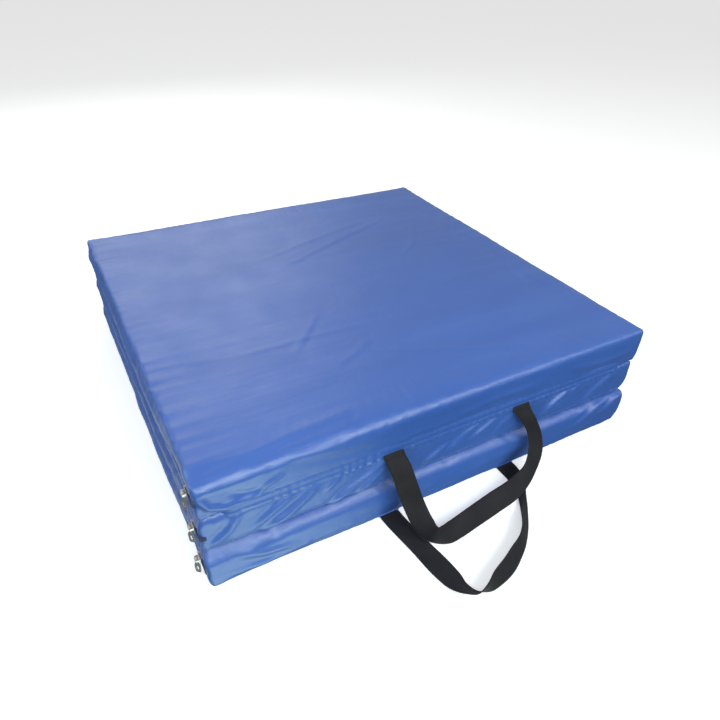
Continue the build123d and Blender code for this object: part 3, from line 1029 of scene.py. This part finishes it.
# Stations down each strap: one edge, then the other, in millimetres.
UPPER_STRAP = (
    ((-95, -298.6, 99), (-70, -298.6, 99.5)), ((-94, -300.6, 94), (-69.5, -301, 96)),
    ((-91, -310, 80), (-67, -312, 85)), ((-88, -317, 62), (-64, -322, 69)),
    ((-82, -329, 33), (-57.5, -334, 41)), ((-77, -341, 15), (-55, -349, 28)),
    ((-70, -353, 5), (-56, -360, 27)), ((-57, -364, 2), (-54, -361, 27)), ((-43, -371, 2), (-50, -358, 24)),
    ((-29, -371, 2), (-39, -354, 21)), ((2, -366, 2), (-7, -347, 18)), ((34, -362, 4), (31, -340, 18)),
    ((64, -359, 9), (67, -336, 22)), ((88, -350, 12), (93, -331, 29)), ((110, -338, 17), (103, -324, 38)),
    ((128, -326, 30), (109, -316, 46)), ((131, -318, 48), (107, -311, 60)), ((121, -311, 75), (97, -305, 81)),
    ((113, -301, 94), (88.5, -300.6, 95)), ((112, -298.6, 99.5), (87, -298.6, 99)),
)
LOWER_STRAP = (
    ((-96.5, -291, 3.6), (-71.5, -291, 3.6)), ((-96, -299.5, 1.9), (-71, -299.5, 1.9)),
    ((-95, -311, 1), (-70, -311, 1)), ((-92, -334, 1), (-67, -336, 1)),
    ((-88, -362, 1), (-63, -364, 1.5)), ((-84, -394, 1), (-60, -389, 3)), ((-79, -417, 4), (-58, -407, 1.5)),
    ((-72, -436, 14), (-58, -422, 1)), ((-64, -445, 20), (-53, -433, 1)), ((-54, -443, 24), (-44, -439, 1)),
    ((-34, -432, 24), (-24, -439, 1)), ((-15, -424, 24), (-4, -434, 1)), ((3, -416, 23), (16, -423, 1)),
    ((18, -410, 22), (30, -413, 1)), ((33, -399, 20), (48, -397, 1)), ((48, -382, 15), (66, -376, 1)),
    ((62, -366, 5), (82, -355, 1)), ((75, -344, 1.5), (98, -334, 1)), ((80, -318, 1), (104.5, -314, 1)),
    ((80, -307, 1), (105, -307, 1)), ((79.5, -299.5, 1.9), (104.5, -299.5, 1.9)),
    ((79, -291, 3.6), (104, -291, 3.6)),
)


def spline(points, spacing):
    """A smooth curve through pairs of points, sampled about every spacing."""
    points = np.array(points, float)
    steps = np.linalg.norm(np.diff(points[:, :3] + points[:, 3:], axis=0), axis=1) / 2
    knots = np.concatenate(((0,), np.cumsum(steps)))
    slopes = np.gradient(points, knots, axis=0)
    samples = np.linspace(0, knots[-1], int(knots[-1] / spacing) + 1)
    span = np.clip(np.searchsorted(knots, samples, side="right") - 1, 0, len(knots) - 2)
    width = (knots[span + 1] - knots[span])[:, None]
    t = ((samples - knots[span])[:, None]) / width
    a, b = points[span], points[span + 1]
    ma, mb = slopes[span] * width, slopes[span + 1] * width
    return (a * (2 * t ** 3 - 3 * t ** 2 + 1) + ma * (t ** 3 - 2 * t ** 2 + t) + b * (3 * t ** 2 - 2 * t ** 3)
            + mb * (t ** 3 - t ** 2))


def strap_rows(stations):
    """Middle, direction across and outward normal at each step along a strap, all in metres."""
    curve = spline([(*a, *b) for a, b in stations], 2.0) * 0.001
    first, second = curve[:, :3], curve[:, 3:]
    middle = (first + second) / 2
    across = second - first
    across /= np.linalg.norm(across, axis=1, keepdims=True)
    run = np.gradient(middle, axis=0)
    run /= np.linalg.norm(run, axis=1, keepdims=True)
    out = np.cross(run, across)
    out /= np.linalg.norm(out, axis=1, keepdims=True)
    along = np.concatenate(((0,), np.cumsum(np.linalg.norm(np.diff(middle, axis=0), axis=1))))
    return middle, across, out, along


def build_strap(name, stations):
    middle, across, out, along = strap_rows(stations)
    cells = np.linspace(-1, 1, 11)
    edge = 1 - np.abs(cells) ** 10 * 0.45
    section = [(c, e) for c, e in zip(cells, edge)] + [(c, -e) for c, e in zip(cells[::-1], edge[::-1])]
    verts, strap_place = [], []
    for m, a, o, s in zip(middle, across, out, along):
        for c, e in section:
            point = m + a * c * STRAP_WIDTH / 2 + o * e * STRAP_THICK / 2
            point[2] = max(point[2], 0.0002)
            verts.append(point)
            strap_place.append((s, c * STRAP_WIDTH / 2, 0))
    piece = new_object(name, verts, tube_faces(0, len(middle), len(section)), WEBBING)
    values = piece.data.attributes.new("strap", "FLOAT_VECTOR", "POINT")
    values.data.foreach_set("vector", np.array(strap_place, np.float32).ravel())
    face_outward(piece)
    return piece


upper_strap = build_strap("upper_handle_strap", UPPER_STRAP)
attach(upper_strap, "upper_handle")
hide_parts("upper_handle_webbing")
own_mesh(upper_strap)

lower_strap = build_strap("lower_handle_strap", LOWER_STRAP)
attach(lower_strap, "lower_handle")
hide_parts("lower_handle_webbing")


# -------- sliders, pulls and the lower handle's seam

PULL_TURN = radians(48)
EYE_X = -0.30555
SLIDER_Y = -0.2761
NECK_SIDES = 16


def lathe_ring(outer, inner, half_length, around=28):
    """A short tube along Y with rounded rims."""
    rim = 0.00025
    profile = ((inner, -half_length + rim), (inner + rim, -half_length), (outer - rim, -half_length),
               (outer, -half_length + rim), (outer, half_length - rim), (outer - rim, half_length),
               (inner + rim, half_length), (inner, half_length - rim))
    verts = [(r * cos(a), y, r * sin(a)) for a in np.linspace(0, 2 * pi, around, endpoint=False)
             for r, y in profile]
    count = len(profile)
    faces = [(i * count + k, i * count + (k + 1) % count, ((i + 1) % around) * count + (k + 1) % count,
              ((i + 1) % around) * count + k) for i in range(around) for k in range(count)]
    return verts, faces


def tab_outline(around):
    """Outline of the tab and of its slot, (across, down) in millimetres, paired point by point."""
    outer, inner = [], []
    for k in range(around):
        a = 2 * pi * k / around + pi / around
        c, s = cos(a), sin(a)
        down = 13.4 + 8.6 * abs(s) ** 0.62 * (1 if s > 0 else -1)
        half = 3.3 if down > 9 else 1.5 + 1.8 * max(0, (down - 4.8) / 4.2)
        outer.append((half * abs(c) ** 0.45 * (1 if c > 0 else -1), down))
        inner.append((1.3 * abs(c) ** 0.6 * (1 if c > 0 else -1),
                      15.0 + 3.5 * abs(s) ** 0.8 * (1 if s > 0 else -1)))
    return outer, inner


def build_pull(panel):
    name = panel.split("_")[0]
    verts, faces = lathe_ring(0.0021, 0.0010, 0.0020)
    around = 40
    outer, inner = tab_outline(around)
    start = len(verts)
    for outline in (outer, inner):
        for face_side in (-0.0006, 0.0006):
            verts += [(face_side, across * 0.001, -down * 0.001) for across, down in outline]
    rings = [start + around * k for k in range(4)]
    for k in range(around):
        m = (k + 1) % around
        for first, second in ((0, 2), (1, 0), (3, 1), (2, 3)):
            faces.append((rings[first] + k, rings[first] + m, rings[second] + m, rings[second] + k))
    neck = len(verts)
    levels = np.linspace(0.0015, 0.0066, 7)
    for level in levels:
        half_y = float(np.interp(level, (0.0015, 0.0040, 0.0066), (0.0019, 0.0013, 0.0016)))
        verts += [(0.00068 * cos(a), half_y * sin(a), -level)
                  for a in np.linspace(0, 2 * pi, NECK_SIDES, endpoint=False)]
    faces += tube_faces(neck, len(levels), NECK_SIDES)
    turned = []
    for x, y, z in verts:
        share = min(max((-z - 0.0022) / 0.0042, 0), 1)
        a = PULL_TURN * share * share * (3 - 2 * share)
        turned.append((x * cos(a) - y * sin(a) + EYE_X, x * sin(a) + y * cos(a) + SLIDER_Y,
                       z + CENTRE_Z[panel]))
    pull = new_object(f"{panel}_pull_tab", turned, faces, METAL)
    face_outward(pull)
    bevel_edges(pull, 2)
    apply_modifiers(pull)
    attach(pull, f"{name}_pull")
    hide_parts(f"{panel}_zip_pull")


def finish_slider(panel):
    slider = frame["nodes"][f"{panel}_zip_slider"]
    for material_slot in slider.material_slots:
        material_slot.material = METAL
    bevel_edges(slider, 3)


for zip_panel in PANELS:
    build_pull(zip_panel)
    finish_slider(zip_panel)


def strap_stitches(name, stations, rows, body, lift=0.0009):
    """Rows of stitches across a strap, each row a distance in metres from its first end."""
    middle, across, out, along = strap_rows(stations)
    places, normals = [], []
    for distance in rows:
        k = int(np.argmin(np.abs(along - distance)))
        facing = out[k] if out[k][1] < 0 or abs(out[k][2]) > 0.8 and out[k][2] > 0 else -out[k]
        for offset in np.linspace(-0.0100, 0.0100, 6):
            places.append(middle[k] + across[k] * offset + facing * lift)
            normals.append(facing)
    return add_stitches(name, places, normals, body, 0.0026, 0.00032, WEBBING)


length = strap_rows(UPPER_STRAP)[3][-1]
upper_stitches = strap_stitches("upper_handle_stitches", UPPER_STRAP,
                                (0.0060, 0.0085, length - 0.0085, length - 0.0060), "upper_handle")
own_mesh(upper_stitches)


def build_anchors():
    """Folded binding sewn along the lower front seam, one length over each end of the lower handle."""
    verts, faces = [], []
    around = 14
    for centre in (-0.0840, 0.0915):
        start = len(verts)
        stations = np.linspace(-0.0150, 0.0150, 31)
        for x in stations:
            end = smooth_step(abs(x), 0.0135, 0.0152)
            wobble = 0.00012 * sin(x * 2900) + 0.00008 * sin(x * 5100 + 1)
            radius = (0.00135 + wobble) * (1 - 0.75 * end)
            verts += [(centre + x, -0.2996 + radius * cos(a), 0.0026 + radius * sin(a))
                      for a in np.linspace(0, 2 * pi, around, endpoint=False)]
        faces += tube_faces(start, len(stations), around)
    anchors = new_object("lower_handle_binding", verts, faces, NYLON)
    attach(anchors, "bottom_panel")
    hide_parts("lower_handle_anchors")


build_anchors()
